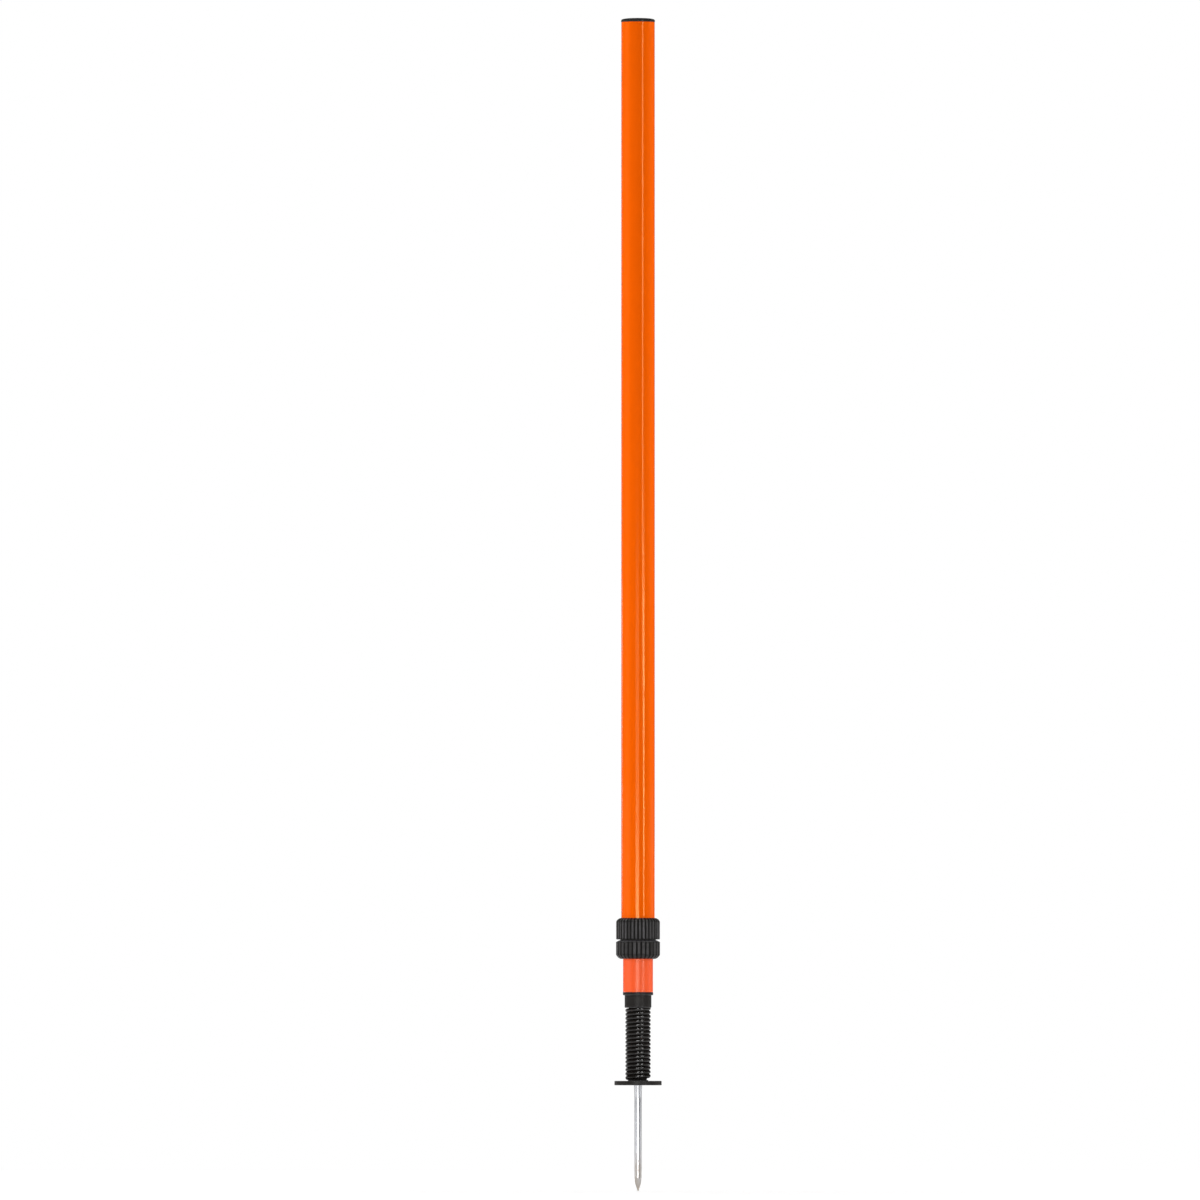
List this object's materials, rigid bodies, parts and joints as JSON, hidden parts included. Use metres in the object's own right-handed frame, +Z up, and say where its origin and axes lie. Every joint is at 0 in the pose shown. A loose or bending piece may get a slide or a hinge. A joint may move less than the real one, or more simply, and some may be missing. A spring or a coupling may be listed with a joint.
{
  "type": "slalom pole",
  "caption": "Telescopic slalom pole: two sliding tubes with a ribbed twist clutch on a coil spring base, with a ground disc and a steel spike.",
  "frame": {"origin": "centre of the ground disc's underside, at ground level, on the pole's axis", "axes": "+Z up along the pole, -Z along the spike into the ground, -Y towards the front of the picture, +X to its right"},
  "size_m": [0.0452, 0.0452, 1.1232],
  "materials": {
    "upper_orange": "satin orange plastic tube",
    "lower_orange": "satin red-orange plastic tube",
    "black_plastic": "moulded black plastic",
    "cap_plastic": "glossy black plastic",
    "black_steel": "black coated spring steel",
    "zinc_steel": "bright zinc plated steel",
    "pale_acetal": "natural white acetal"
  },
  "bodies": {
    "ground_end": {"ground_disc": "black_plastic", "spike": "zinc_steel", "spike_washer": "zinc_steel", "spike_nut": "zinc_steel"},
    "spring_turns": {"spring": "black_steel"},
    "lower_pole": {"spring_plug": "black_plastic", "lower_tube": "lower_orange", "tube_guide": "pale_acetal"},
    "glide": {"glide_ring": "pale_acetal"},
    "upper_pole": {"upper_tube": "upper_orange", "top_cap": "cap_plastic", "clutch_collar": "black_plastic"},
    "collet": {"clutch_collet": "pale_acetal"},
    "nut": {"clutch_nut": "black_plastic"}
  },
  "joints": [
    {"name": "spring_bend_x", "type": "hinge", "parent": "ground_end", "child": "spring_turns", "pos_m": [0, 0, 0.0271], "axis": [1, 0, 0], "range_deg": [-45, 45], "stiffness_Nm_per_rad": 12, "deforming": ["spring"]},
    {"name": "spring_bend_y", "type": "hinge", "parent": "spring_turns", "child": "lower_pole", "pos_m": [0, 0, 0.0504], "axis": [0, 1, 0], "range_deg": [-45, 45], "stiffness_Nm_per_rad": 12, "deforming": ["spring"]},
    {"name": "height_slide", "type": "slide", "parent": "lower_pole", "child": "glide", "axis": [0, 0, 1], "range_m": [-0.029, 0.7]},
    {"name": "upper_spin", "type": "hinge", "parent": "glide", "child": "upper_pole", "pos_m": [0, 0, 0.1443], "axis": [0, 0, 1], "continuous": true},
    {"name": "nut_travel", "type": "slide", "parent": "upper_pole", "child": "collet", "axis": [0, 0, -1], "range_m": [0, 0.0023]},
    {"name": "nut_turn", "type": "hinge", "parent": "collet", "child": "nut", "pos_m": [0, 0, 0.1295], "axis": [0, 0, -1], "range_deg": [0, 270]}
  ],
  "couplings": [
    {"joint": "nut_travel", "follows": "nut_turn", "m_per_rad": 0.00047746}
  ]
}
